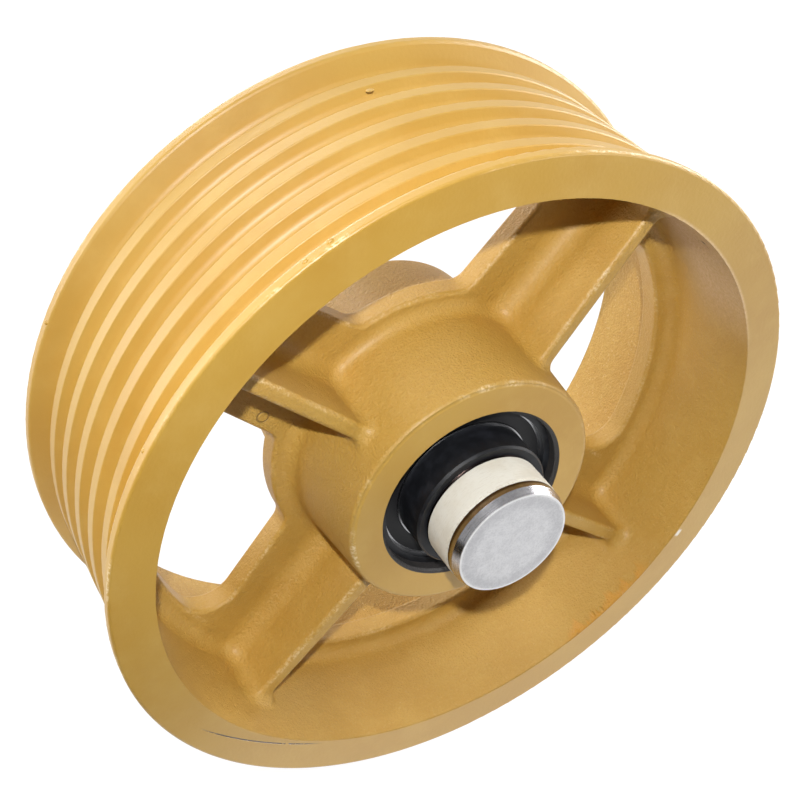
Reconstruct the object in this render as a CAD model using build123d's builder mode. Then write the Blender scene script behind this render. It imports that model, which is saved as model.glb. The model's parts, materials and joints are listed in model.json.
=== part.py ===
from build123d import *
import math
import os

os.makedirs("parts", exist_ok=True)

# The axis is Y, the front looks towards -Y, +Z is up, millimetres.

# Ropes and the grooved band of the rim
rope_diameter = 10.0
rope_pitch_radius = 200.0
groove_count = 6
groove_pitch = 21.5
groove_radius = 5.5
groove_half_angle = 21.0
land_above_pitch = 3.0
land_edge_round = 0.9

# Rim
flange_above_pitch = 10.0
flange_side_width = 5.5
crest_outer_round = 1.6
crest_inner_round = 2.4
rim_below_pitch = 14.0
rim_draft_angle = 1.8

# Web, windows and spokes
web_front = -2.0
web_thickness = 15.0
web_to_rim_fillet = 9.0
web_to_hub_fillet = 8.0
spoke_count = 4
first_spoke_angle = 45.0
window_to_rim = 15.0
window_to_hub = 11.5
spoke_half_width_hub = 38.0
spoke_half_width_rim = 34.0
window_outer_corner = 19.0
window_inner_corner = 11.0
window_edge_round = 2.6

# Rib that stands on the front of every spoke
rib_top_width = 9.5
rib_draft_angle = 2.0
rib_below_hub_end = 19.0
rib_fall_to_rim = 6.5
rib_root_fillet = 13.0
rib_top_round = 2.8

# Hub
hub_half_length = 65.0
hub_wall = 21.0
hub_spread_to_web = 6.0
hub_shoulder_round = 3.5
seat_shoulder_height = 5.5
mouth_chamfer = 2.0

# Sealed ball bearing 70 x 110 x 20
shaft_radius = 35.0
seat_radius = 55.0
bearing_width = 20.0
bearing_set_back = 11.5
inner_shoulder_share = 0.1775
outer_shoulder_share = 0.18
ball_share = 0.3075
ball_count = 13
race_over_ball = 0.25
race_clearance = 0.05
bearing_edge_round = 0.9
cage_below_circle = 1.4
cage_above_circle = 1.6
cage_rim = 1.15
cage_pocket_clearance = 0.2
seal_recess_depth = 1.3
seal_clearance = 0.35
seal_lip_thickness = 1.0
seal_thickness = 1.6
seal_set_back = 0.5

# Retaining ring with two lugs
ring_thickness = 4.0
ring_side_clearance = 0.15
ring_groove_depth = 2.0
ring_edge_clearance = 0.2
ring_width = 5.6
ring_gap_angle = 24.0
ring_gap_direction = -35.0
lug_radius = 4.2
lug_hole_radius = 1.6
lug_inset = 4.4
lug_turn = 17.0

# Shaft and the pieces on it
shaft_seat_length = 24.6
shaft_lead_length = 5.0
shaft_lead_depth = 1.9
collar_length = 21.1
collar_wall = 5.6
collar_chamfer = 1.2
relief_width = 1.8
relief_depth = 0.4
tube_wall = 5.5
tube_chamfer = 1.0
tape_thickness = 0.45
tape_to_lead = 4.0

# Radii and levels that follow from the sizes above
land_radius = rope_pitch_radius + land_above_pitch
flange_radius = rope_pitch_radius + flange_above_pitch
rim_inner_radius = rope_pitch_radius - rim_below_pitch
half_rim = groove_count * groove_pitch / 2 + flange_side_width
web_back = web_front + web_thickness
draft_slope = math.tan(math.radians(rim_draft_angle))
rim_radius_at_web_front = rim_inner_radius - draft_slope * (half_rim + web_front)
rim_radius_at_web_back = rim_inner_radius - draft_slope * (half_rim - web_back)
hub_end_radius = seat_radius + hub_wall
hub_web_radius = hub_end_radius + hub_spread_to_web
window_outer_radius = rim_inner_radius - window_to_rim
window_inner_radius = hub_web_radius + window_to_hub
rib_top_at_hub = rib_below_hub_end - hub_half_length
rib_top_at_rim = rib_top_at_hub + rib_fall_to_rim
seat_shoulder_radius = seat_radius - seat_shoulder_height
bearing_outer_face = hub_half_length - bearing_set_back
bearing_inner_face = bearing_outer_face - bearing_width
bearing_section = seat_radius - shaft_radius
ball_circle_radius = (shaft_radius + seat_radius) / 2
ball_radius = bearing_section * ball_share
race_radius = ball_radius + race_over_ball
inner_ring_shoulder = ball_circle_radius - bearing_section * inner_shoulder_share
outer_ring_shoulder = ball_circle_radius + bearing_section * outer_shoulder_share
seal_recess_radius = outer_ring_shoulder + seal_recess_depth
seal_inner_radius = inner_ring_shoulder + seal_clearance
cage_inner_radius = ball_circle_radius - cage_below_circle
cage_outer_radius = ball_circle_radius + cage_above_circle
cage_width = 2 * (ball_radius + cage_rim)
cage_pocket_radius = ball_radius + cage_pocket_clearance
ring_groove_width = ring_thickness + ring_side_clearance
ring_groove_radius = seat_radius + ring_groove_depth
ring_outer_radius = ring_groove_radius - ring_edge_clearance
ring_inner_radius = ring_outer_radius - ring_width
lug_circle_radius = seat_radius - lug_inset
collar_radius = shaft_radius + collar_wall
collar_end = bearing_outer_face + collar_length
tube_radius = shaft_radius + tube_wall
seat_start = collar_end + relief_width
shaft_half_length = seat_start + shaft_seat_length + shaft_lead_length
tape_end = shaft_half_length - shaft_lead_length - tape_to_lead

# Groove section: a round floor that runs into straight flanks, and where each groove stands
groove_centre_radius = rope_pitch_radius - rope_diameter / 2 + groove_radius
half_angle = math.radians(groove_half_angle)
flank_slope = math.tan(half_angle)
tangent_radius = groove_centre_radius - groove_radius * math.sin(half_angle)
tangent_half_width = groove_radius * math.cos(half_angle)
first_groove = -groove_pitch * (groove_count - 1) / 2
groove_places = [first_groove + groove_pitch * i for i in range(groove_count)]
cut_radius = flange_radius + 4.0


def flank_half_width(radius):
    return tangent_half_width + flank_slope * (radius - tangent_radius)


def close_to(value, wanted):
    return abs(value - wanted) < 0.02


def axis_distance(point):
    return math.hypot(point.X, point.Z)


def radial_plane(turn, radius, level=0):
    angle = math.radians(turn)
    place = (radius * math.cos(angle), level, radius * math.sin(angle))
    across = (-math.sin(angle), 0, math.cos(angle))
    outward = (math.cos(angle), 0, math.sin(angle))
    return Plane(origin=place, x_dir=across, z_dir=outward)


# Turned blank of the wheel: rim, web and hub in one profile about the axis
with BuildPart() as wheel_blank:
    with BuildSketch(Plane.XY) as wheel_profile:
        with BuildLine():
            Polyline(
                (rim_inner_radius, -half_rim),
                (flange_radius, -half_rim),
                (flange_radius, half_rim),
                (rim_inner_radius, half_rim),
                (rim_radius_at_web_back, web_back),
                (rim_radius_at_web_front, web_front),
                close=True,
            )
        make_face()
        # Rope band between the flanges, then the rope grooves
        band_reach = -groove_places[0]
        with BuildLine():
            Polyline(
                (land_radius, -band_reach - flank_half_width(land_radius)),
                (cut_radius, -band_reach - flank_half_width(cut_radius)),
                (cut_radius, band_reach + flank_half_width(cut_radius)),
                (land_radius, band_reach + flank_half_width(land_radius)),
                close=True,
            )
        make_face(mode=Mode.SUBTRACT)
        for groove_place in groove_places:
            with Locations((groove_centre_radius, groove_place)):
                Circle(groove_radius, mode=Mode.SUBTRACT)
            with BuildLine():
                Polyline(
                    (tangent_radius, groove_place - tangent_half_width),
                    (land_radius, groove_place - flank_half_width(land_radius)),
                    (land_radius, groove_place + flank_half_width(land_radius)),
                    (tangent_radius, groove_place + tangent_half_width),
                    close=True,
                )
            make_face(mode=Mode.SUBTRACT)
        # Web plate and hub
        with BuildLine():
            Polyline(
                (seat_shoulder_radius, web_front),
                (rim_inner_radius, web_front),
                (rim_inner_radius, web_back),
                (seat_shoulder_radius, web_back),
                close=True,
            )
        make_face()
        with BuildLine():
            Polyline(
                (seat_shoulder_radius, -hub_half_length),
                (hub_end_radius, -hub_half_length),
                (hub_web_radius, web_front),
                (hub_web_radius, web_back),
                (hub_end_radius, hub_half_length),
                (seat_shoulder_radius, hub_half_length),
                close=True,
            )
        make_face()
        # Bearing seats, retaining ring grooves and mouth chamfers, the same at both ends
        for side in (-1, 1):
            with BuildLine():
                Polyline(
                    (seat_shoulder_radius - 1, side * bearing_inner_face),
                    (seat_radius, side * bearing_inner_face),
                    (seat_radius, side * bearing_outer_face),
                    (ring_groove_radius, side * bearing_outer_face),
                    (ring_groove_radius, side * (bearing_outer_face + ring_groove_width)),
                    (seat_radius, side * (bearing_outer_face + ring_groove_width)),
                    (seat_radius, side * (hub_half_length - mouth_chamfer)),
                    (seat_radius + mouth_chamfer, side * hub_half_length),
                    (seat_shoulder_radius - 1, side * hub_half_length),
                    close=True,
                )
            make_face(mode=Mode.SUBTRACT)
        # Rounded corners of the lands, flange crests, hub ends and web roots
        corners = wheel_profile.vertices()
        last_land = groove_places[-1]
        on_land = corners.filter_by(lambda p: close_to(p.X, land_radius) and abs(p.Y) < last_land)
        fillet(on_land, land_edge_round)
        corners = wheel_profile.vertices()
        on_crest = corners.filter_by(lambda p: close_to(p.X, flange_radius))
        inside_crest = on_crest.filter_by(lambda p: abs(p.Y) < half_rim - 1)
        fillet(inside_crest, crest_inner_round)
        corners = wheel_profile.vertices()
        outside_crest = corners.filter_by(
            lambda p: close_to(p.X, flange_radius) and close_to(abs(p.Y), half_rim)
        )
        fillet(outside_crest, crest_outer_round)
        corners = wheel_profile.vertices()
        hub_ends = corners.filter_by(
            lambda p: close_to(p.X, hub_end_radius) and close_to(abs(p.Y), hub_half_length)
        )
        fillet(hub_ends, hub_shoulder_round)
        corners = wheel_profile.vertices()
        back_hub_root = corners.filter_by(
            lambda p: close_to(p.X, hub_web_radius) and close_to(p.Y, web_back)
        )
        fillet(back_hub_root, web_to_hub_fillet)
        corners = wheel_profile.vertices()
        back_rim_root = corners.filter_by(
            lambda p: close_to(p.X, rim_radius_at_web_back) and close_to(p.Y, web_back)
        )
        fillet(back_rim_root, web_to_rim_fillet)
    revolve(axis=Axis.Y, revolution_arc=360)

# One rib: a drafted fin with its root fillets, lofted from inside the hub to inside the rim
rib_slope = (rib_top_at_rim - rib_top_at_hub) / (rim_inner_radius - hub_end_radius)
rib_foot = -web_front
draft = math.radians(rib_draft_angle)
with BuildPart() as spoke_rib:
    for section_radius in (hub_end_radius - 10, rim_inner_radius + 3):
        top_level = -(rib_top_at_hub + rib_slope * (section_radius - hub_end_radius))
        foot_half = rib_top_width / 2 + (top_level - rib_foot) * math.tan(draft)
        arc_centre = foot_half + rib_root_fillet * (1 / math.cos(draft) - math.tan(draft))
        touch_across = arc_centre - rib_root_fillet * math.cos(draft)
        touch_level = rib_foot + rib_root_fillet * (1 - math.sin(draft))
        with BuildSketch(radial_plane(first_spoke_angle, section_radius)) as rib_section:
            with BuildLine():
                Line((-arc_centre, rib_foot), (-arc_centre, rib_foot - 1))
                Line((-arc_centre, rib_foot - 1), (arc_centre, rib_foot - 1))
                Line((arc_centre, rib_foot - 1), (arc_centre, rib_foot))
                RadiusArc((arc_centre, rib_foot), (touch_across, touch_level), rib_root_fillet)
                Line((touch_across, touch_level), (rib_top_width / 2, top_level))
                Line((rib_top_width / 2, top_level), (-rib_top_width / 2, top_level))
                Line((-rib_top_width / 2, top_level), (-touch_across, touch_level))
                RadiusArc((-touch_across, touch_level), (-arc_centre, rib_foot), rib_root_fillet)
            make_face()
            tops = rib_section.vertices().filter_by(lambda p: close_to(p.Y, top_level))
            fillet(tops, rib_top_round)
    loft(ruled=True)

# Windows between the spokes, cut through the web
with BuildPart() as window_cutter:
    with BuildSketch(Plane.XZ.offset(-web_back - 2)) as window_outline:
        Circle(window_outer_radius)
        Circle(window_inner_radius, mode=Mode.SUBTRACT)
        with PolarLocations(0, spoke_count, start_angle=first_spoke_angle):
            Polygon(
                (0, spoke_half_width_hub),
                (0, -spoke_half_width_hub),
                (window_inner_radius, -spoke_half_width_hub),
                (window_outer_radius, -spoke_half_width_rim),
                (flange_radius, -spoke_half_width_rim),
                (flange_radius, spoke_half_width_rim),
                (window_outer_radius, spoke_half_width_rim),
                (window_inner_radius, spoke_half_width_hub),
                align=Align.NONE,
                mode=Mode.SUBTRACT,
            )
        outer_ends = window_outline.vertices().filter_by(
            lambda p: close_to(math.hypot(p.X, p.Y), window_outer_radius)
        )
        fillet(outer_ends, window_outer_corner)
        inner_ends = window_outline.vertices().filter_by(
            lambda p: close_to(math.hypot(p.X, p.Y), window_inner_radius)
        )
        fillet(inner_ends, window_inner_corner)
    extrude(amount=web_back - web_front + 4)


def on_rib_end(edge):
    middle = edge.center()
    turn = math.degrees(math.atan2(middle.Z, middle.X)) - first_spoke_angle
    spoke_step = 360 / spoke_count
    off_spoke = (turn + spoke_step / 2) % spoke_step - spoke_step / 2
    level = rib_top_at_hub - 4 < middle.Y < web_front - 0.1
    return abs(off_spoke) < 20 and level and edge.length < 60


def on_root_circle(edge, radius):
    ends = edge.vertices()
    flat = all(close_to(p.Y, web_front) for p in ends)
    return flat and all(abs(axis_distance(p) - radius) < 0.05 for p in ends)


def on_window_rim(edge):
    box = edge.bounding_box()
    level = close_to(box.min.Y, box.max.Y) and (
        close_to(box.min.Y, web_front) or close_to(box.min.Y, web_back)
    )
    radii = [axis_distance(edge @ place) for place in (0, 0.5, 1)]
    inside = min(radii) > window_inner_radius - 0.5 and max(radii) < window_outer_radius + 0.5
    return level and inside


# The cast wheel: blank, ribs, the blends round the ribs, then the windows with rounded edges
with BuildPart() as sheave_wheel:
    add(wheel_blank.part)
    for i in range(spoke_count):
        add(spoke_rib.part.rotate(Axis.Y, 360 / spoke_count * i))
    rib_edges = sheave_wheel.edges().filter_by(on_rib_end)
    at_hub = rib_edges.filter_by(lambda e: axis_distance(e.center()) < window_inner_radius)
    hub_circle = sheave_wheel.edges().filter_by(lambda e: on_root_circle(e, hub_web_radius))
    fillet(at_hub + hub_circle, web_to_hub_fillet)
    rib_edges = sheave_wheel.edges().filter_by(on_rib_end)
    at_rim = rib_edges.filter_by(lambda e: axis_distance(e.center()) > window_outer_radius - 8)
    rim_circle = sheave_wheel.edges().filter_by(lambda e: on_root_circle(e, rim_radius_at_web_front))
    fillet(at_rim + rim_circle, web_to_rim_fillet)
    add(window_cutter.part, mode=Mode.SUBTRACT)
    window_rims = sheave_wheel.edges().filter_by(on_window_rim)
    fillet(window_rims, window_edge_round)
sheave_wheel.part.label = "sheave_wheel"
export_step(sheave_wheel.part, "parts/sheave_wheel.step")

# Fixed shaft: a seat at each end, a relief groove between seat and collar, a lead chamfer
with BuildPart() as shaft:
    with BuildSketch(Plane.XY) as shaft_profile:
        with BuildLine():
            Polyline(
                (0, -shaft_half_length),
                (shaft_radius - shaft_lead_depth, -shaft_half_length),
                (shaft_radius, -shaft_half_length + shaft_lead_length),
                (shaft_radius, shaft_half_length - shaft_lead_length),
                (shaft_radius - shaft_lead_depth, shaft_half_length),
                (0, shaft_half_length),
                close=True,
            )
        make_face()
        with Locations(
            (shaft_radius, -collar_end - relief_width / 2),
            (shaft_radius, collar_end + relief_width / 2),
        ):
            Rectangle(2 * relief_depth, relief_width, mode=Mode.SUBTRACT)
    revolve(axis=Axis.Y, revolution_arc=360)
shaft.part.label = "shaft"
export_step(shaft.part, "parts/shaft.step")

# Distance tube between the two inner rings
with BuildPart() as distance_tube:
    with BuildSketch(Plane.XZ.offset(-bearing_inner_face)) as tube_section:
        Circle(tube_radius)
        Circle(shaft_radius, mode=Mode.SUBTRACT)
    extrude(amount=2 * bearing_inner_face)
    outer_corners = distance_tube.edges().filter_by(
        lambda e: close_to(axis_distance(e @ 0), tube_radius)
    )
    chamfer(outer_corners.filter_by(GeomType.CIRCLE), tube_chamfer)
distance_tube.part.label = "distance_tube"
export_step(distance_tube.part, "parts/distance_tube.step")

# Paper tape wound round the front seat of the shaft
with BuildPart() as tape_wrap:
    with BuildSketch(Plane.XZ.offset(seat_start)) as tape_section:
        Circle(shaft_radius + tape_thickness)
        Circle(shaft_radius, mode=Mode.SUBTRACT)
    extrude(amount=tape_end - seat_start)
tape_wrap.part.label = "tape_wrap"
export_step(tape_wrap.part, "parts/tape_wrap.step")

# Parts found at both ends of the hub: a sealed ball bearing, its retaining ring and a collar
outer_race_centre = ball_circle_radius + ball_radius + race_clearance - race_radius
inner_race_centre = ball_circle_radius - ball_radius - race_clearance + race_radius
half_width = bearing_width / 2
recess_level = half_width - seal_set_back - seal_thickness
for end_name, side in (("front", -1), ("rear", 1)):
    middle_level = side * (bearing_outer_face - half_width)
    bearing_plane = Plane(origin=(0, middle_level, 0), z_dir=(0, 0, 1))
    ball_planes = [
        radial_plane(360 / ball_count * i, ball_circle_radius, middle_level)
        for i in range(ball_count)
    ]

    with BuildPart() as bearing_outer_ring:
        with BuildSketch(bearing_plane) as outer_ring_profile:
            with BuildLine():
                Polyline(
                    (outer_ring_shoulder, -recess_level),
                    (seal_recess_radius, -recess_level),
                    (seal_recess_radius, -half_width),
                    (seat_radius, -half_width),
                    (seat_radius, half_width),
                    (seal_recess_radius, half_width),
                    (seal_recess_radius, recess_level),
                    (outer_ring_shoulder, recess_level),
                    close=True,
                )
            make_face()
            with Locations((outer_race_centre, 0)):
                Circle(race_radius, mode=Mode.SUBTRACT)
            outside = outer_ring_profile.vertices().filter_by(lambda p: close_to(p.X, seat_radius))
            fillet(outside, bearing_edge_round)
        revolve(axis=Axis.Y, revolution_arc=360)
    bearing_outer_ring.part.label = end_name + "_bearing_outer_ring"
    export_step(bearing_outer_ring.part, "parts/" + end_name + "_bearing_outer_ring.step")

    with BuildPart() as bearing_inner_ring:
        with BuildSketch(bearing_plane) as inner_ring_profile:
            with BuildLine():
                Polyline(
                    (shaft_radius, -half_width),
                    (inner_ring_shoulder, -half_width),
                    (inner_ring_shoulder, half_width),
                    (shaft_radius, half_width),
                    close=True,
                )
            make_face()
            with Locations((inner_race_centre, 0)):
                Circle(race_radius, mode=Mode.SUBTRACT)
            bore_corners = inner_ring_profile.vertices().filter_by(
                lambda p: close_to(p.X, shaft_radius)
            )
            fillet(bore_corners, bearing_edge_round)
        revolve(axis=Axis.Y, revolution_arc=360)
    bearing_inner_ring.part.label = end_name + "_bearing_inner_ring"
    export_step(bearing_inner_ring.part, "parts/" + end_name + "_bearing_inner_ring.step")

    with BuildPart() as bearing_balls:
        with Locations(*ball_planes):
            Sphere(ball_radius)
    bearing_balls.part.label = end_name + "_bearing_balls"
    export_step(bearing_balls.part, "parts/" + end_name + "_bearing_balls.step")

    with BuildPart() as bearing_cage:
        with BuildSketch(bearing_plane) as cage_profile:
            with Locations(((cage_inner_radius + cage_outer_radius) / 2, 0)):
                Rectangle(cage_outer_radius - cage_inner_radius, cage_width)
        revolve(axis=Axis.Y, revolution_arc=360)
        with Locations(*ball_planes):
            Cylinder(cage_pocket_radius, 4 * ball_radius, mode=Mode.SUBTRACT)
    bearing_cage.part.label = end_name + "_bearing_cage"
    export_step(bearing_cage.part, "parts/" + end_name + "_bearing_cage.step")

    # A seal closes each side of the bearing, with a thinner lip near the inner ring
    for seal_name, facing in (("outer", side), ("inner", -side)):
        outer_level = facing * (half_width - seal_set_back)
        lip_level = outer_level - facing * seal_lip_thickness
        back_level = outer_level - facing * seal_thickness
        with BuildPart() as bearing_seal:
            with BuildSketch(bearing_plane) as seal_profile:
                with BuildLine():
                    Polyline(
                        (seal_inner_radius, outer_level),
                        (seal_recess_radius, outer_level),
                        (seal_recess_radius, back_level),
                        (seal_inner_radius + 2 * seal_lip_thickness, back_level),
                        (seal_inner_radius + seal_lip_thickness, lip_level),
                        (seal_inner_radius, lip_level),
                        close=True,
                    )
                make_face()
            revolve(axis=Axis.Y, revolution_arc=360)
        bearing_seal.part.label = end_name + "_" + seal_name + "_seal"
        export_step(bearing_seal.part, "parts/" + end_name + "_" + seal_name + "_seal.step")

    # Spring ring in the hub groove: an open ring with a holed lug at each side of its gap
    outer_face = side * bearing_outer_face
    with BuildPart() as retaining_ring:
        with BuildSketch(Plane.XZ.offset(-outer_face)) as ring_outline:
            Circle(ring_outer_radius)
            Circle(ring_inner_radius, mode=Mode.SUBTRACT)
            gap_reach = ring_outer_radius * math.tan(math.radians(ring_gap_angle / 2))
            with PolarLocations(0, 1, start_angle=ring_gap_direction):
                Polygon(
                    (0, 0),
                    (ring_outer_radius + 1, -gap_reach),
                    (ring_outer_radius + 1, gap_reach),
                    align=Align.NONE,
                    mode=Mode.SUBTRACT,
                )
            for turn in (ring_gap_direction - lug_turn, ring_gap_direction + lug_turn):
                with PolarLocations(lug_circle_radius, 1, start_angle=turn):
                    Circle(lug_radius)
                    Circle(lug_hole_radius, mode=Mode.SUBTRACT)
        extrude(amount=-side * ring_thickness)
    retaining_ring.part.label = end_name + "_retaining_ring"
    export_step(retaining_ring.part, "parts/" + end_name + "_retaining_ring.step")

    # Collar that holds the inner ring, with a chamfered outer end
    with BuildPart() as shaft_collar:
        with BuildSketch(Plane.XY) as collar_profile:
            with BuildLine():
                Polyline(
                    (shaft_radius, side * bearing_outer_face),
                    (collar_radius, side * bearing_outer_face),
                    (collar_radius, side * (collar_end - collar_chamfer)),
                    (collar_radius - collar_chamfer, side * collar_end),
                    (shaft_radius, side * collar_end),
                    close=True,
                )
            make_face()
        revolve(axis=Axis.Y, revolution_arc=360)
    shaft_collar.part.label = end_name + "_collar"
    export_step(shaft_collar.part, "parts/" + end_name + "_collar.step")
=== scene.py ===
import json
import math

import bpy
import numpy as np
from mathutils import Matrix, Vector


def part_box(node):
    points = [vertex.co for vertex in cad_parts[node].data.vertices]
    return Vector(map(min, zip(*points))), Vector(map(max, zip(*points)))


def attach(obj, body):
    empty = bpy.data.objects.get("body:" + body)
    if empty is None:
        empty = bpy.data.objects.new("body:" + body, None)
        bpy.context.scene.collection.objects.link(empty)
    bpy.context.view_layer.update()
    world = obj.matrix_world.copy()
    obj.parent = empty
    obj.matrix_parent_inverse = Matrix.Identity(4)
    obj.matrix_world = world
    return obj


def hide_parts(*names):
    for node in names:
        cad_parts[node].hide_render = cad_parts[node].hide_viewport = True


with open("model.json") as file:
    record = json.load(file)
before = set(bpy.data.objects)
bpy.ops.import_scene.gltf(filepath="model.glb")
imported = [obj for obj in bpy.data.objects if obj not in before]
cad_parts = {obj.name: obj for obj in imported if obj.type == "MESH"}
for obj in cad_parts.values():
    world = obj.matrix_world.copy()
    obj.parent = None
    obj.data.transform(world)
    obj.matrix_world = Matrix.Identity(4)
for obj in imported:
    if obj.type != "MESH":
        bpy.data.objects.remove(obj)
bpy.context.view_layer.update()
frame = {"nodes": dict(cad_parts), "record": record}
nodes = frame["nodes"]
print("frame loaded,", len(nodes), "nodes")


class Value:
    # a socket that can stand in an expression; each operator adds its Math node
    def __init__(self, graph, socket):
        self.graph = graph
        self.socket = socket

    def maths(self, operation, *others):
        node = self.graph.node("ShaderNodeMath", {"operation": operation}, dict(enumerate((self,) + others)))
        return Value(self.graph, node.outputs[0])

    def __add__(self, other):
        return self.maths("ADD", other)

    def __sub__(self, other):
        return self.maths("SUBTRACT", other)

    def __rsub__(self, other):
        return (self * -1) + other

    def __mul__(self, other):
        return self.maths("MULTIPLY", other)

    __radd__ = __add__
    __rmul__ = __mul__

    def most(self, other):
        return self.maths("MAXIMUM", other)

    def least(self, other):
        return self.maths("MINIMUM", other)

    def size(self):
        return self.maths("ABSOLUTE")

    def root(self):
        return self.maths("SQRT")

    def angle(self, other):
        return self.maths("ARCTAN2", other)

    def rise(self, low, high):
        # 0 below low, 1 above high, smooth between; falls instead if low is the larger
        node = self.graph.node("ShaderNodeMapRange", {"interpolation_type": "SMOOTHSTEP"},
                               {"Value": self, "From Min": low, "From Max": high})
        return Value(self.graph, node.outputs["Result"])


class Graph:
    # a node tree that is being written, of a material or of the world
    def __init__(self, tree):
        self.tree = tree
        tree.nodes.clear()

    def node(self, kind, settings={}, sockets={}):
        node = self.tree.nodes.new(kind)
        for key, item in settings.items():
            setattr(node, key, item)
        for key, item in sockets.items():
            item = item.socket if isinstance(item, Value) else item
            if isinstance(item, bpy.types.NodeSocket):
                self.tree.links.new(item, node.inputs[key])
            else:
                node.inputs[key].default_value = item
        return node

    def mix(self, share, first, second):
        # colours, from first to second by share; inputs 6 and 7 are the node's two colours
        first, second = (item + (1.0,) if isinstance(item, tuple) else item for item in (first, second))
        node = self.node("ShaderNodeMix", {"data_type": "RGBA"}, {0: share, 6: first, 7: second})
        return node.outputs[2]


class Finish(Graph):
    # one material: its nodes and the places that its patterns read
    def __init__(self, name):
        self.material = bpy.data.materials.new(name)
        self.material.use_nodes = True
        super().__init__(self.material.node_tree)
        self.place = self.node("ShaderNodeTexCoord").outputs["Object"]
        parts = self.node("ShaderNodeSeparateXYZ", {}, {"Vector": self.place})
        self.x, self.y, self.z = (Value(self, parts.outputs[i]) for i in range(3))
        self.radius = (self.x * self.x + self.z * self.z).root()

    def noise(self, scale, detail=3.0, rough=0.55, place=None):
        node = self.node("ShaderNodeTexNoise", {}, {
            "Vector": place or self.place, "Scale": scale, "Detail": detail, "Roughness": rough})
        return Value(self, node.outputs["Fac"])

    def vector(self, x, y, z):
        return self.node("ShaderNodeCombineXYZ", {}, {0: x, 1: y, 2: z}).outputs[0]

    def bump(self, height, depth):
        # depth is the real height in metres that a value of 1 stands for
        node = self.node("ShaderNodeBump", {}, {"Strength": 1.0, "Distance": depth, "Height": height})
        return node.outputs["Normal"]

    def surface(self, **sockets):
        names = {"color": "Base Color", "rough": "Roughness", "metal": "Metallic", "normal": "Normal",
                 "coat": "Coat Weight", "coatRough": "Coat Roughness", "specular": "Specular IOR Level"}
        shader = self.node("ShaderNodeBsdfPrincipled", {}, {names[key]: item for key, item in sockets.items()})
        self.node("ShaderNodeOutputMaterial", {}, {"Surface": shader.outputs[0]})
        return self.material


def linear(red, green, blue):
    # a colour as seen on a screen, 0 to 255, as the light values that a shader takes
    return tuple(((level / 255 + 0.055) / 1.055) ** 2.4 if level > 10 else level / 255 / 12.92
                 for level in (red, green, blue))


wheel = {
    # the wheel's own levels and radii, in metres, that its paint follows
    "faceLevel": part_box("sheave_wheel")[1].y,
    "crest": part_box("sheave_wheel")[1].x,
    "innerWall": 0.1850,
    "turnedFrom": 0.1862,  # radius from which the rim is turned
    "webFront": -0.002,
    "webBack": 0.013,
    "hubRadius": 0.076,
    "hubEnd": 0.065,
    "bore": 0.057,
    "ribTopAtHub": -0.046,
    "ribTopSlope": 0.0591,
    "ribHalfTop": 0.00475,
    "windowOutside": 0.171,
    "windowInside": 0.0935,
    "spokeHalfAtHub": 0.038,
    "spokeNarrowing": 0.0516,
}

ochre = {
    "base": linear(194, 154, 66),
    "deep": linear(184, 140, 50),
    "pale": linear(203, 166, 84),
    "wornAndHighlight": linear(226, 200, 150),
    "dustAndPaintedLight": linear(226, 194, 152),
    "run": linear(205, 146, 36),
    "scratch": linear(52, 34, 18),
    "chip": linear(238, 230, 214),
    "greasyBore": linear(42, 38, 36),
    # how much of each colour shows; pairs are in front of the web, and what is added behind it
    "cloudShare": 0.45,
    "lumpShare": (0.22, 0.35),
    "speckShare": (0.16, 0.30),
    "pitShare": 0.42,
    "grainShare": 0.30,
    "hubBackShadeShare": 0.6,
    "dustAndLightShare": (0.4, 0.4),  # everywhere, and what is added by specks
    "runShare": 0.8,
    "edgeShare": 0.7,
    "printShare": 0.45,
    "scratchShare": 0.9,
    "roughTurned": 0.54,
    "roughCast": 0.60,
    "roughBehind": 0.20,  # added to the castings' back
    "cloudRough": 0.14,
    "dustRough": 0.20,
    # taken off on the rim's two faces, on worn edges and on runs of paint
    "faceSmoother": 0.22,
    "edgeSmoother": 0.12,
    "runSmoother": 0.20,
    "specular": 0.75,
    "coat": 0.34,
    "coatRough": 0.40,
    "sandScale": 700.0,
    "lumpScale": 250.0,
    "peelScale": 430.0,
    "speckScale": 520.0,
    "cloudScale": 38.0,
    "broadScale": 9.0,
    "reliefDepth": 0.00110,
    # heights as shares of that depth; pairs as above
    "sandHeight": (0.8, 0.8),
    "lumpHeight": (0.5, 0.6),
    "peelHeight": 0.10,
    "turningHeight": 0.03,
    "runHeight": 0.35,
    "scratchHeight": 0.8,
    "printHeight": 0.35,
}

edgeStrips = {
    # widths and reaches of the thin paint and painted highlights on cast edges, in metres
    "ribReach": 0.0022,
    "ribRadii": ((0.078, 0.090), (0.178, 0.170)),
    "sideReach": 0.0020,
    "sideRadii": ((0.096, 0.100), (0.168, 0.164)),
    "arcReach": 0.0018,
    "arcShare": 0.5,  # strength on the windows' arcs
    "levelReach": 0.0030,
}

paintRun = {
    # where the runs lie and how far they reach: angles in degrees, lengths in metres
    "start": (-70, -64),
    "end": (-43, -48),
    "longWave": 0.32,
    "longest": 0.0080,
    "shortWave": 1.1,
    "shortest": 0.0030,
    "softEdge": (0.0040, -0.0020),
}

marks = {
    # faults of this one wheel: angles in degrees, places and sizes in metres
    # the pale patch on the inner wall is overspray and also a painted pool of light
    "dustAndLightAngles": ((6, 24), (58, 50)),
    "dustAndLightLevels": (-0.012, -0.040),
    "scratchAngle": -118,
    "scratchRadius": 0.1875,
    "scratchBend": 0.0000083,
    "scratchHalfWidth": 0.00055,
    "scratchStart": (6, 12),
    "scratchEnd": (36, 30),
    "nickAngle": 37.1,
    "nickLevel": -0.0565,
    "chipAngle": -35.3,
    "chipRadius": 0.1882,
    "printPlace": (-0.0941, 0.0519),
    "printRadius": 0.0034,
}


def near(value, place, reach):
    # 1 where value is at place, falling smoothly to 0 at reach from it
    return (value - place).size().rise(reach, reach * 0.4)


def between(value, start, end):
    # 1 between two soft limits, each a pair of where it begins and where it is full
    return value.rise(*start) * value.rise(*end)


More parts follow.
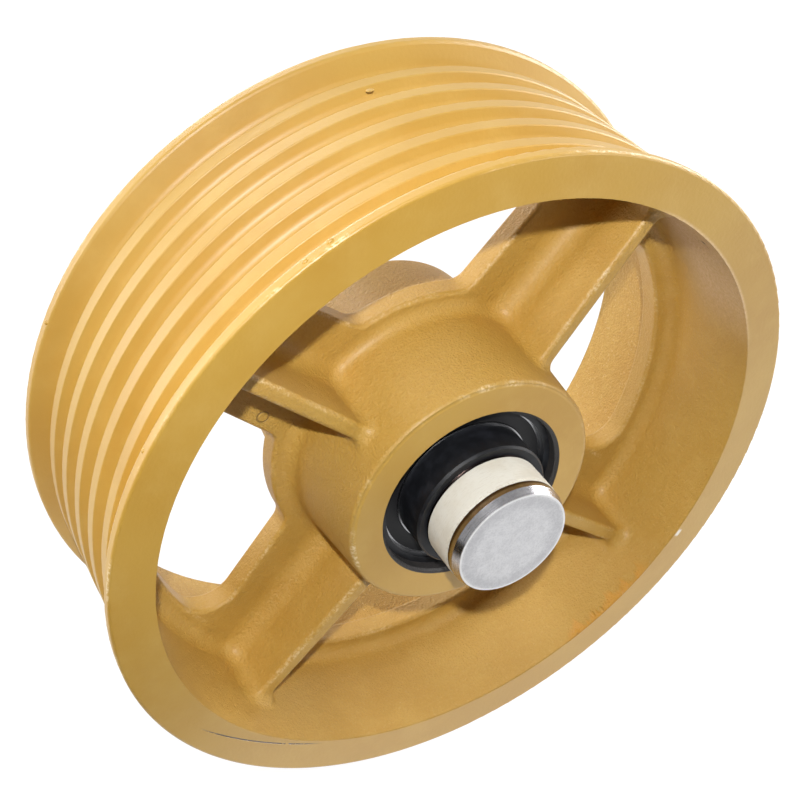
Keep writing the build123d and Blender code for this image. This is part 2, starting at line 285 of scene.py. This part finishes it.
def degreesAround(m):
    # the angle about the axle, from +X towards +Z, in degrees
    return m.z.angle(m.x) * (180 / math.pi)


def castEdges(m):
    # strips along the ribs' tops and the windows' rounded rims, where the paint is thin and a pale painted highlight
    # is laid
    w, strip = wheel, edgeStrips
    across = (m.x.size() - m.z.size()).size() * math.sqrt(0.5)
    along = (m.x.size() + m.z.size()) * math.sqrt(0.5)
    ribTop = (along - w["hubRadius"]) * w["ribTopSlope"] + w["ribTopAtHub"]
    onTop = (m.y - ribTop).rise(0.0030, 0.0012) * near(across, w["ribHalfTop"] - 0.0006, strip["ribReach"])
    onTop = onTop * between(m.radius, *strip["ribRadii"])
    spokeSide = w["spokeHalfAtHub"] - (along - w["windowInside"]) * w["spokeNarrowing"]
    side = near(across, spokeSide, strip["sideReach"]) * between(m.radius, *strip["sideRadii"])
    outer = near(m.radius, w["windowOutside"], strip["arcReach"])
    inner = near(m.radius, w["windowInside"], strip["arcReach"])
    arcs = outer.most(inner) * (across - spokeSide).rise(0.004, 0.007) * strip["arcShare"]
    return onTop.most(side.most(arcs) * near(m.y, w["webFront"], strip["levelReach"]))


def paintRuns(m, angle):
    # thick runs of paint on the inner wall, just behind the front face, low on the +X side
    run = paintRun
    reach = m.noise(1.0, 1.0, 0.4, m.vector(angle * run["longWave"], 0.0, 0.0)).rise(0.36, 0.66) * run["longest"]
    drips = m.noise(1.0, 1.0, 0.4, m.vector(angle * run["shortWave"], 4.0, 0.0)).rise(0.5, 0.7)
    reach = reach + drips * run["shortest"]
    zone = between(angle, run["start"], run["end"]) * m.radius.rise(
        wheel["turnedFrom"] + 0.0002, wheel["turnedFrom"] - 0.0001)
    return zone * (m.y + wheel["faceLevel"] - reach).rise(*run["softEdge"])


def longScratch(m, angle):
    # one long scratch on the front face: its radius grows with the square of the turn from where it begins
    turn = marks["scratchAngle"] - angle
    line = turn * turn * marks["scratchBend"] + marks["scratchRadius"]
    onFace = m.y.rise(0.0010 - wheel["faceLevel"], 0.0004 - wheel["faceLevel"])
    broken = m.noise(260.0, 2.0, 0.5).rise(0.30, 0.42)
    length = between(turn, marks["scratchStart"], marks["scratchEnd"])
    return near(m.radius, line, marks["scratchHalfWidth"]) * onFace * length * broken


def smallMarks(m, angle, onWall):
    # a nick in the inner wall, a chip at the face's inner edge, and the print of a small ring on one spoke
    nick = near(angle, marks["nickAngle"], 0.5) * near(m.y, marks["nickLevel"], 0.0022) * onWall
    chip = near(angle, marks["chipAngle"], 1.1) * near(m.radius, marks["chipRadius"], 0.0021)
    chip = chip * m.y.rise(0.0020 - wheel["faceLevel"], 0.0010 - wheel["faceLevel"])
    sideways, upwards = m.x - marks["printPlace"][0], m.z - marks["printPlace"][1]
    fromPrint = (sideways * sideways + upwards * upwards).root()
    ringPrint = near(fromPrint, marks["printRadius"], 0.0007) * near(m.y, wheel["webFront"], 0.0015)
    return nick, chip, ringPrint


def ochreEnamel():
    # yellow ochre enamel: smooth on turned places, over sand skin on the castings, with its wear and marks
    m = Finish("ochreEnamel")
    w = wheel
    angle = degreesAround(m)
    depth = m.y.size()
    # turned places: rim band, rim faces and hub ends; the rest keeps the sand skin under the paint
    rimFace = depth.rise(w["faceLevel"] - 0.0007, w["faceLevel"] - 0.0002)
    hubFace = depth.rise(w["hubEnd"] - 0.0010, w["hubEnd"] - 0.0002) * m.radius.rise(
        w["hubRadius"] + 0.0015, w["hubRadius"] + 0.0005)
    turned = m.radius.rise(w["turnedFrom"], w["turnedFrom"] + 0.0010).most(rimFace).most(hubFace)
    cast = 1 - turned
    behind = m.y.rise(w["webBack"] - 0.004, w["webBack"] + 0.003)
    broad = m.noise(ochre["broadScale"], 2.0)
    cloudy = m.noise(ochre["cloudScale"], 4.0, 0.6)
    sand = m.noise(ochre["sandScale"], 3.0, 0.6)
    lumps = m.noise(ochre["lumpScale"], 3.0, 0.55)
    peel = m.noise(ochre["peelScale"], 2.0, 0.5)
    specks = m.noise(ochre["speckScale"], 3.0, 0.7)
    turning = m.noise(1.0, 3.0, 0.6, m.vector(m.radius * 900, m.y * 2600, 0.0))
    edges = castEdges(m)
    runs = paintRuns(m, angle)
    # worn rims of the flanges and of the hub's ends, painted paler as a highlight along these edges
    crest = m.radius.rise(w["crest"] - 0.0010, w["crest"] - 0.0002) * near(depth, w["faceLevel"] - 0.0008, 0.0022)
    hubRim = near(m.radius, w["hubRadius"] - 0.0012, 0.0018) * near(depth, w["hubEnd"] - 0.0010, 0.0022)
    rubbedAndHighlit = (crest + hubRim) * cloudy.rise(0.50, 0.66) * specks.rise(0.42, 0.60)
    # pale overspray on the inner wall, high on the +X side, laid on thick so that it is also a painted pool of light
    # on that wall
    onWall = near(m.radius, w["innerWall"], 0.0030)
    dustAndLightPatch = between(angle, *marks["dustAndLightAngles"]) * m.y.rise(*marks["dustAndLightLevels"]) * onWall
    scratch = longScratch(m, angle)
    nick, chip, ringPrint = smallMarks(m, angle, onWall)

    def growing(key):
        # a strength that is greater behind the web
        return behind * ochre[key][1] + ochre[key][0]

    # pale along the cast edges: thin paint, and a painted highlight
    wornAndHighlight = edges * specks.rise(0.44, 0.64) * cloudy.rise(0.40, 0.60)
    dustAndLightSpecks = dustAndLightPatch * (specks.rise(0.3, 0.7) * ochre["dustAndLightShare"][1] + ochre["dustAndLightShare"][0])
    color = ochre["base"]
    for share, name in (
        (broad.rise(0.3, 0.75), "deep"),
        (cloudy.rise(0.42, 0.8) * ochre["cloudShare"], "pale"),
        (lumps.rise(0.60, 0.36) * cast * growing("lumpShare"), "deep"),
        (specks.rise(0.56, 0.74) * cast * growing("speckShare"), "wornAndHighlight"),
        (sand.rise(0.46, 0.30) * cast * ochre["pitShare"], "deep"),
        (sand.rise(0.54, 0.72) * cast * ochre["grainShare"], "pale"),
        # painted shade: the hub's back behind the web is darkened
        (behind * m.radius.rise(0.100, 0.085) * ochre["hubBackShadeShare"], "deep"),
        # pale patch on the inner wall: overspray dust and a painted pool of light
        (dustAndLightSpecks, "dustAndPaintedLight"),
        (runs * ochre["runShare"], "run"),
        (wornAndHighlight * ochre["edgeShare"], "wornAndHighlight"),
        # pale flange crests and hub-end rims: wear and a painted highlight
        (rubbedAndHighlit.least(1.0), "wornAndHighlight"),
        (ringPrint * ochre["printShare"] + scratch.most(nick) * ochre["scratchShare"], "scratch"),
        (chip, "chip"),
        # the bores and their mouth chamfers are bare and greasy, not painted
        (m.radius.rise(w["bore"] + 0.0001, w["bore"] - 0.0002), "greasyBore"),
    ):
        color = m.mix(share, color, ochre[name])

    height = cast * (sand * growing("sandHeight") + lumps * growing("lumpHeight"))
    height = height + turned * (peel * ochre["peelHeight"] + turning * ochre["turningHeight"])
    height = height + runs * ochre["runHeight"] - scratch * ochre["scratchHeight"] - ringPrint * ochre["printHeight"]
    rough = turned * (ochre["roughTurned"] - ochre["roughCast"]) + ochre["roughCast"]
    rough = rough - rimFace * ochre["faceSmoother"] + behind * cast * ochre["roughBehind"]
    rough = rough + (cloudy - 0.5) * ochre["cloudRough"] + dustAndLightPatch * ochre["dustRough"]
    rough = rough - edges * ochre["edgeSmoother"] - runs * ochre["runSmoother"]
    return m.surface(color=color, rough=rough, normal=m.bump(height, ochre["reliefDepth"]),
                     specular=ochre["specular"], coat=ochre["coat"], coatRough=ochre["coatRough"])


steel = {
    "pale": linear(226, 226, 228),
    "grey": linear(196, 196, 199),
    "seat": linear(128, 118, 122),
    "lead": linear(120, 116, 126),
    "brinkHighlight": linear(246, 246, 247),
    "reflectedBrown": linear(74, 58, 50),
    # levels from the wheel's middle plane, radii and lengths, in metres
    "endLevel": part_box("shaft")[1].y,
    "endRadius": 0.0331,
    "leadLength": 0.0046,
    "reflectedBrownLevels": (0.0992, 0.0978),
    "ringRadii": ((0.0215, 0.0285), (0.0325, 0.0300)),
    "faceMetal": 0.20,
    "roughFace": 0.42,
    "roughLead": 0.16,
    "roughSeat": 0.26,
    "reliefDepth": 0.00002,
}


def turnedSteel():
    # the shaft: a dull, blotched end face with a greyer ring and a painted highlight at its brink, a lead chamfer
    # and a seat darkened as painted dark reflections, and a painted brown reflection on the seat next to the tape
    m = Finish("turnedSteel")
    depth = m.y.size()
    face = depth.rise(steel["endLevel"] - 0.0006, steel["endLevel"] - 0.0002) * m.radius.rise(
        steel["endRadius"] + 0.0002, steel["endRadius"] - 0.0002)
    leadFrom = steel["endLevel"] - steel["leadLength"]
    lead = depth.rise(leadFrom - 0.0005, leadFrom) * (1 - face)
    seat = (1 - face) * (1 - lead)
    reflectedBrownBand = seat * depth.rise(*steel["reflectedBrownLevels"])
    brinkHighlight = near(m.radius, steel["endRadius"] - 0.0005, 0.0009) * face
    ringed = between(m.radius, *steel["ringRadii"])
    blotch = m.noise(160.0, 6.0, 0.7)
    fine = m.noise(900.0, 4.0, 0.7)
    streak = m.noise(1.0, 3.0, 0.6, m.vector(m.z.angle(m.x) * 2.2, m.y * 900, 0.0))
    rings = m.noise(1.0, 4.0, 0.7, m.vector(m.radius * 2600, m.y * 1800, 0.0))
    speckle = blotch.rise(0.40, 0.62) * 0.35 + fine.rise(0.45, 0.60) * 0.35
    color = m.mix((ringed * 0.55 + speckle).least(1.0), steel["pale"], steel["grey"])
    # painted dark reflection on the bare seat, carried on from the chamfer
    color = m.mix(seat * 0.45, color, steel["seat"])
    # painted reflection: a brown band, as of the ochre wheel, on the seat next to the tape
    color = m.mix(reflectedBrownBand * 0.85, color, steel["reflectedBrown"])
    # painted dark reflection bands round the polished lead chamfer
    color = m.mix(lead * (streak.rise(0.5, 0.68) * 0.3 + 0.25), color, steel["lead"])
    # painted highlight: a near-white ring at the end face's brink
    color = m.mix(brinkHighlight * 0.8, color, steel["brinkHighlight"])
    metal = face * (steel["faceMetal"] - 1) + 1.0
    rough = face * (blotch * 0.12 + steel["roughFace"]) + lead * (streak * 0.16 + steel["roughLead"])
    rough = rough + seat * steel["roughSeat"]
    height = rings * (face * 0.4 + seat) + face * fine * 1.6
    return m.surface(color=color, metal=metal, rough=rough, normal=m.bump(height, steel["reliefDepth"]))


races = {
    "pale": linear(200, 200, 202),
    "grey": linear(170, 171, 174),
    "rough": 0.16,
    "reliefDepth": 0.00001,
}


def groundSteel():
    # the bearings' rings and balls: ground bright, with fine rings and a smear of grease
    m = Finish("groundSteel")
    rings = m.noise(1.0, 3.0, 0.6, m.vector(m.radius * 3200, m.y * 3200, 0.0))
    smear = m.noise(70.0, 3.0, 0.5)
    color = m.mix(smear, races["grey"], races["pale"])
    return m.surface(color=color, metal=1.0, rough=rings * 0.1 + smear * 0.1 + races["rough"],
                     normal=m.bump(rings, races["reliefDepth"]))


blackened = {
    "springSteel": {"light": linear(46, 49, 54), "dark": linear(20, 21, 24), "rough": 0.24},
    "blackCollar": {"light": linear(38, 40, 46), "dark": linear(16, 17, 21), "rough": 0.34},
    "specular": 0.5,
    "reliefDepth": 0.00004,
}


def blackSteel(name):
    # blackened steel, faintly greasy: satin with paler handling marks
    m = Finish(name)
    look = blackened[name]
    grime = m.noise(120.0, 4.0, 0.6)
    wipe = m.noise(1.0, 3.0, 0.5, m.vector(m.z.angle(m.x) * 3.0, m.y * 160, m.radius * 160))
    turning = m.noise(1.0, 2.0, 0.5, m.vector(m.radius * 2400, m.y * 2400, 0.0))
    color = m.mix(grime.rise(0.4, 0.8) * 0.6 + wipe.rise(0.5, 0.7) * 0.4, look["dark"], look["light"])
    return m.surface(color=color, rough=grime * 0.16 + wipe * 0.12 + look["rough"],
                     specular=blackened["specular"], normal=m.bump(turning * 0.4 + grime, blackened["reliefDepth"]))


rubber = {
    "light": linear(34, 34, 36),
    "dark": linear(20, 20, 22),
    "rough": 0.42,
    "reliefDepth": 0.00006,
}


def sealRubber():
    # matt black rubber with the mould's fine rings
    m = Finish("sealRubber")
    grain = m.noise(700.0, 3.0, 0.6)
    moulded = m.noise(1.0, 2.0, 0.5, m.vector(m.radius * 1500, 0.0, 0.0))
    color = m.mix(grain, rubber["dark"], rubber["light"])
    return m.surface(color=color, rough=grain * 0.2 + rubber["rough"],
                     normal=m.bump(grain * 0.5 + moulded, rubber["reliefDepth"]))


polyamide = {
    "light": linear(66, 66, 61),
    "dark": linear(48, 48, 45),
    "rough": 0.4,
    "reliefDepth": 0.00004,
}


def cagePolyamide():
    # dark moulded plastic with a fine grain
    m = Finish("cagePolyamide")
    grain = m.noise(500.0, 3.0, 0.6)
    color = m.mix(grain, polyamide["dark"], polyamide["light"])
    return m.surface(color=color, rough=grain * 0.2 + polyamide["rough"],
                     normal=m.bump(grain, polyamide["reliefDepth"]))


paper = {
    "cream": linear(222, 221, 212),
    "yellowed": linear(210, 206, 192),
    "crease": linear(190, 184, 168),
    "soil": linear(180, 168, 148),
    "soilLevels": (-0.0935, -0.0968),  # metres along the axle
    "rough": 0.72,
    "reliefDepth": 0.00016,
}


def creamTape():
    # crepe paper: fine creases round the shaft with painted shade in their hollows, a little soiled towards its
    # front edge
    m = Finish("creamTape")
    creases = m.noise(1.0, 4.0, 0.65, m.vector(m.x * 260, m.y * 1500, m.z * 260))
    fibre = m.noise(900.0, 3.0, 0.6)
    stain = m.noise(60.0, 3.0, 0.5)
    soiled = m.y.rise(*paper["soilLevels"]) * fibre.rise(0.5, 0.62)
    color = m.mix(stain.rise(0.35, 0.75), paper["cream"], paper["yellowed"])
    # painted shade in the creases' hollows
    color = m.mix(creases.rise(0.5, 0.3) * 0.35, color, paper["crease"])
    color = m.mix(soiled * 0.5, color, paper["soil"])
    return m.surface(color=color, rough=paper["rough"], normal=m.bump(creases + fibre * 0.3, paper["reliefDepth"]))


finishes = {
    "wheel_paint": ochreEnamel(),
    "turned_steel": turnedSteel(),
    "bearing_steel": groundSteel(),
    "cage_polyamide": cagePolyamide(),
    "seal_rubber": sealRubber(),
    "black_spring_steel": blackSteel("springSteel"),
    "black_steel": blackSteel("blackCollar"),
    "paper_tape": creamTape(),
}
for part in frame["record"]["subparts"]:
    mesh = nodes[part["node"]].data
    mesh.materials.clear()
    mesh.materials.append(finishes[part["material_slot"]])
print("finishes made")


def meshPiece(name, points, faces):
    # a smooth piece at the origin, with its place in its mesh
    mesh = bpy.data.meshes.new(name)
    mesh.from_pydata(points, [], faces)
    mesh.polygons.foreach_set("use_smooth", [True] * len(mesh.polygons))
    mesh.update()
    piece = bpy.data.objects.new(name, mesh)
    bpy.context.scene.collection.objects.link(piece)
    return piece


def surfaceMesh(name, points):
    # points is a grid of rows and columns, both closed on themselves; each cell between four points is a face
    index = np.arange(points.shape[0] * points.shape[1]).reshape(points.shape[:2])
    below = np.roll(index, -1, axis=0)
    quads = np.stack((index, np.roll(index, -1, axis=1), np.roll(below, -1, axis=1), below), axis=-1)
    return meshPiece(name, points.reshape(-1, 3).tolist(), quads.reshape(-1, 4).tolist())


tape = {
    # masking tape on the front seat of the shaft; lengths and levels in metres
    "bore": 0.03502,
    "layer": 0.00013,
    "layers": 3,
    "back": -0.0765,
    "front": -0.0967,
    "edgeWave": 0.00014,
    "edgeWaves": ((3, 1.0, 0.6), (7, 0.6, 2.1), (13, 0.4, 4.0)),  # waves round the shaft, share, start
    "layerShift": 0.00075,
    "layerWave": 0.35,
    "layerEdge": 0.0001,  # length over which a layer's edge rises
    "crease": 0.00002,
    "creasePitch": (5200, 9700),
    "fineCreases": 0.6,
    "underSkin": 0.000005,  # how far it stays inside the plain tape's outside
    "around": 288,
    "along": 96,
}


def woundTape():
    # radius = bore + one layer's thickness for each layer whose wavy front edge is passed, less fine creases;
    # each edge wanders as a sum of sines of the angle, and the end faces and the bore close the section
    angle = np.linspace(0, 2 * math.pi, tape["around"], endpoint=False)[:, None]
    along = np.linspace(0, 1, tape["along"])[None, :]
    wave = sum(share * np.sin(waves * angle + start) for waves, share, start in tape["edgeWaves"])
    front = tape["front"] + tape["edgeWave"] * wave
    level = front + (tape["back"] - front) * along
    height = np.full_like(level, tape["layer"])
    for i in range(1, tape["layers"]):
        shifted = np.sin((4 + i) * angle + i) + 0.5 * np.sin((9 + i) * angle + 2 * i)
        edge = front + tape["layerShift"] * (i + tape["layerWave"] * shifted)
        height = height + tape["layer"] * np.clip((level - edge) / tape["layerEdge"], 0, 1)
    coarse = np.sin(level * tape["creasePitch"][0] + 2.0 * np.sin(2 * angle)) - 1
    fine = np.sin(level * tape["creasePitch"][1] + 3 * angle) - 1
    radius = tape["bore"] + height + tape["crease"] * (coarse + tape["fineCreases"] * fine)
    radius = np.minimum(radius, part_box("tape_wrap")[1].x - tape["underSkin"])
    inner = np.full_like(radius, tape["bore"])
    ring = np.concatenate((radius, inner), axis=1)
    level = np.concatenate((level, level[:, ::-1]), axis=1)
    piece = surfaceMesh("woundTape", np.stack((ring * np.cos(angle), level, ring * np.sin(angle)), axis=-1))
    piece.data.materials.append(finishes["paper_tape"])
    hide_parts("tape_wrap")
    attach(piece, "axle")


woundTape()

drops = {
    # paint drops that dried on the wheel: angle about the axle, level along it, radius,
    # then half sizes along the axle, round the rim and outwards
    "places": (
        (111.1, -0.0655, 0.2096, 0.0012, 0.0020, 0.0013),
        (109.6, -0.0640, 0.2082, 0.0015, 0.0011, 0.0009),
        (114.9, -0.0664, 0.2096, 0.0013, 0.0015, 0.0013),
        (145.9, -0.0656, 0.2095, 0.0012, 0.0013, 0.0012),
        (149.9, 0.0648, 0.2096, 0.0011, 0.0015, 0.0014),
        (91.1, 0.0343, 0.2029, 0.0016, 0.0022, 0.0004),
        (-64.4, -0.0676, 0.1858, 0.0024, 0.0019, 0.0007),
        (-57.6, -0.0668, 0.1857, 0.0026, 0.0015, 0.0007),
        (-59.5, -0.0652, 0.1856, 0.0030, 0.0012, 0.0006),
        (-52.0, -0.0662, 0.1857, 0.0028, 0.0016, 0.0006),
        (-47.5, -0.0660, 0.1857, 0.0030, 0.0014, 0.0006),
    ),
    "rings": 14,
    "around": 20,
}


def paintDrops():
    # each drop is an ellipsoid half sunk in the wheel: centre + half size times the sine and cosine of two angles
    places = np.array(drops["places"])
    turn = np.radians(places[:, 0])
    outward = np.stack((np.cos(turn), 0 * turn, np.sin(turn)), axis=-1)
    around = np.stack((-np.sin(turn), 0 * turn, np.cos(turn)), axis=-1)
    centre = outward * places[:, 2:3] + np.array((0.0, 1.0, 0.0)) * places[:, 1:2]
    rings, steps = drops["rings"], drops["around"]
    polar = np.linspace(0, math.pi, rings + 1)[1:-1][:, None]
    spin = np.linspace(0, 2 * math.pi, steps, endpoint=False)[None, :]
    shell = np.stack((np.cos(polar) + 0 * spin, np.sin(polar) * np.cos(spin), np.sin(polar) * np.sin(spin)), axis=-1)
    shell = np.concatenate((shell.reshape(-1, 3), [(1, 0, 0)], [(-1, 0, 0)]))
    grid = np.arange((rings - 1) * steps).reshape(rings - 1, steps)
    after = np.roll(grid, -1, axis=1)
    quads = np.stack((grid[:-1], after[:-1], after[1:], grid[1:]), axis=-1).reshape(-1, 4)
    top = np.stack((np.full(steps, grid.size), after[0], grid[0]), axis=-1)
    bottom = np.stack((np.full(steps, grid.size + 1), grid[-1], after[-1]), axis=-1)
    points, faces = [], []
    for i in range(len(places)):
        axes = np.stack(((0.0, 1.0, 0.0) * places[i, 3:4], around[i] * places[i, 4], outward[i] * places[i, 5]))
        points.append(centre[i] + shell @ axes)
        for group in (quads, top, bottom):
            faces.extend((group + i * len(shell)).tolist())
    piece = meshPiece("paintDrops", np.concatenate(points).tolist(), faces)
    piece.data.materials.append(finishes["wheel_paint"])
    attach(piece, "wheel")


paintDrops()
print("tape and paint drops made")


stage = {
    "floorLevel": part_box("sheave_wheel")[0].z,
    "floorSize": 6.0,
    "seenShare": 0.86,  # how much of the floor's look is its own white; the rest takes light and shadow
    "seenLevel": 1.08,
    "albedoNear": 0.92,
    "albedoFar": 0.25,
    # metres of reach over which the floor's tone and its gloss in reflections change
    "slant": 0.5,
    "toneReach": (-0.50, -0.10),
    "glossReach": (-0.29, -0.19),
}


def paleFloor():
    # the floor is palest under the wheel and darker towards the front left, most of all in reflections
    m = Finish("paleFloor")
    reach = m.y + m.x * stage["slant"]
    tone = m.mix(reach.rise(*stage["toneReach"]), (stage["albedoFar"],) * 3, (stage["albedoNear"],) * 3)
    matt = m.node("ShaderNodeBsdfDiffuse", {}, {"Color": tone})
    rays = m.node("ShaderNodeLightPath")
    seen = Value(m, rays.outputs["Is Camera Ray"])
    mirrored = Value(m, rays.outputs["Is Glossy Ray"])
    white = m.mix(mirrored * reach.rise(*stage["glossReach"]), (0.0, 0.0, 0.0), (1.0, 1.0, 1.0))
    white = m.mix(seen, white, (stage["seenLevel"],) * 3)
    glow = m.node("ShaderNodeEmission", {}, {"Color": white, "Strength": 1.0})
    both = m.node("ShaderNodeMixShader", {}, {
        0: seen * stage["seenShare"] + mirrored, 1: matt.outputs[0], 2: glow.outputs[0]})
    m.node("ShaderNodeOutputMaterial", {}, {"Surface": both.outputs[0]})
    return m.material


def makeFloor():
    # one flat square that the wheel stands on
    half, level = stage["floorSize"] / 2, stage["floorLevel"]
    corners = [(-half, -half, level), (half, -half, level), (half, half, level), (-half, half, level)]
    floor = meshPiece("floor", corners, [(0, 1, 2, 3)])
    floor.data.materials.append(paleFloor())


makeFloor()

lamps = {
    # round lamps that face the middle: place, size across in metres, power in watts
    "near": {"place": (-0.2686, -0.5363, 0.6786), "size": 0.025, "power": 7.6},  # small, for crisp shadows
    "low": {"place": (0.75, -0.75, 0.0), "size": 0.3, "power": 1.3},
    "right": {"place": (1.970, 0.0, 0.347), "size": 1.0, "power": 36.0},
    "left": {"place": (-1.628, 0.940, 0.684), "size": 1.0, "power": 21.0},
    "behind": {"place": (0.0, 1.879, 0.684), "size": 1.0, "power": 18.0},
}


def addLight(name, place, size, power):
    # a lamp shines against its own Z axis, so that axis points away from the middle
    lamp = bpy.data.lights.new(name, "AREA")
    lamp.shape = "DISK"
    lamp.size = size
    lamp.energy = power
    light = bpy.data.objects.new(name, lamp)
    light.rotation_euler = Vector(place).to_track_quat("Z", "Y").to_euler()
    light.location = place
    bpy.context.scene.collection.objects.link(light)


for name, lamp in lamps.items():
    addLight(name, **lamp)

room = {
    # light that the room gives, in front of the wheel and behind it, and what reflections see there
    "front": 0.01,
    "back": 0.80,
    "glossFront": 0.08,
    "glossBack": 1.0,
    "turn": (-0.5, 0.6),  # share of the way to the back between which it changes
}


def softRoom():
    # a plain white backdrop: full white where it is seen, and as light it fades from behind to the front
    world = bpy.data.worlds.new("softRoom")
    world.use_nodes = True
    m = Graph(world.node_tree)
    place = m.node("ShaderNodeTexCoord")
    parts = m.node("ShaderNodeSeparateXYZ", {}, {0: place.outputs["Generated"]})
    rays = m.node("ShaderNodeLightPath")
    seen = Value(m, rays.outputs["Is Camera Ray"])
    mirrored = Value(m, rays.outputs["Is Glossy Ray"])
    backward = Value(m, parts.outputs[1]).rise(*room["turn"])
    lit = backward * (room["back"] - room["front"]) + room["front"]
    gloss = backward * (room["glossBack"] - room["glossFront"]) + room["glossFront"]
    level = mirrored * gloss + (1 - mirrored) * lit
    level = (1 - seen) * level + seen
    sky = m.node("ShaderNodeBackground", {}, {"Color": (1.0, 1.0, 1.0, 1.0), "Strength": level})
    m.node("ShaderNodeOutputWorld", {}, {"Surface": sky.outputs[0]})
    bpy.context.scene.world = world


softRoom()

view = {
    "place": (-0.2604, -0.48545, 0.50735),
    "target": (-0.00334, 0.01357, 0.01191),
    "roll": -1.882,  # degrees, about the line of sight
    "lens": 57.27,
    "sensor": 36.0,
    "clipStart": 0.01,
}


def makeCamera():
    data = bpy.data.cameras.new("camera")
    data.lens = view["lens"]
    data.sensor_width = view["sensor"]
    data.clip_start = view["clipStart"]
    camera = bpy.data.objects.new("camera", data)
    sight = (Vector(view["target"]) - Vector(view["place"])).to_track_quat("-Z", "Y").to_matrix()
    turn = Matrix.Rotation(math.radians(view["roll"]), 3, "Z")
    camera.matrix_world = Matrix.Translation(view["place"]) @ (sight @ turn).to_4x4()
    bpy.context.scene.collection.objects.link(camera)
    bpy.context.scene.camera = camera


makeCamera()
bpy.context.scene.view_settings.view_transform = "Standard"
print("stage, lights and camera made")
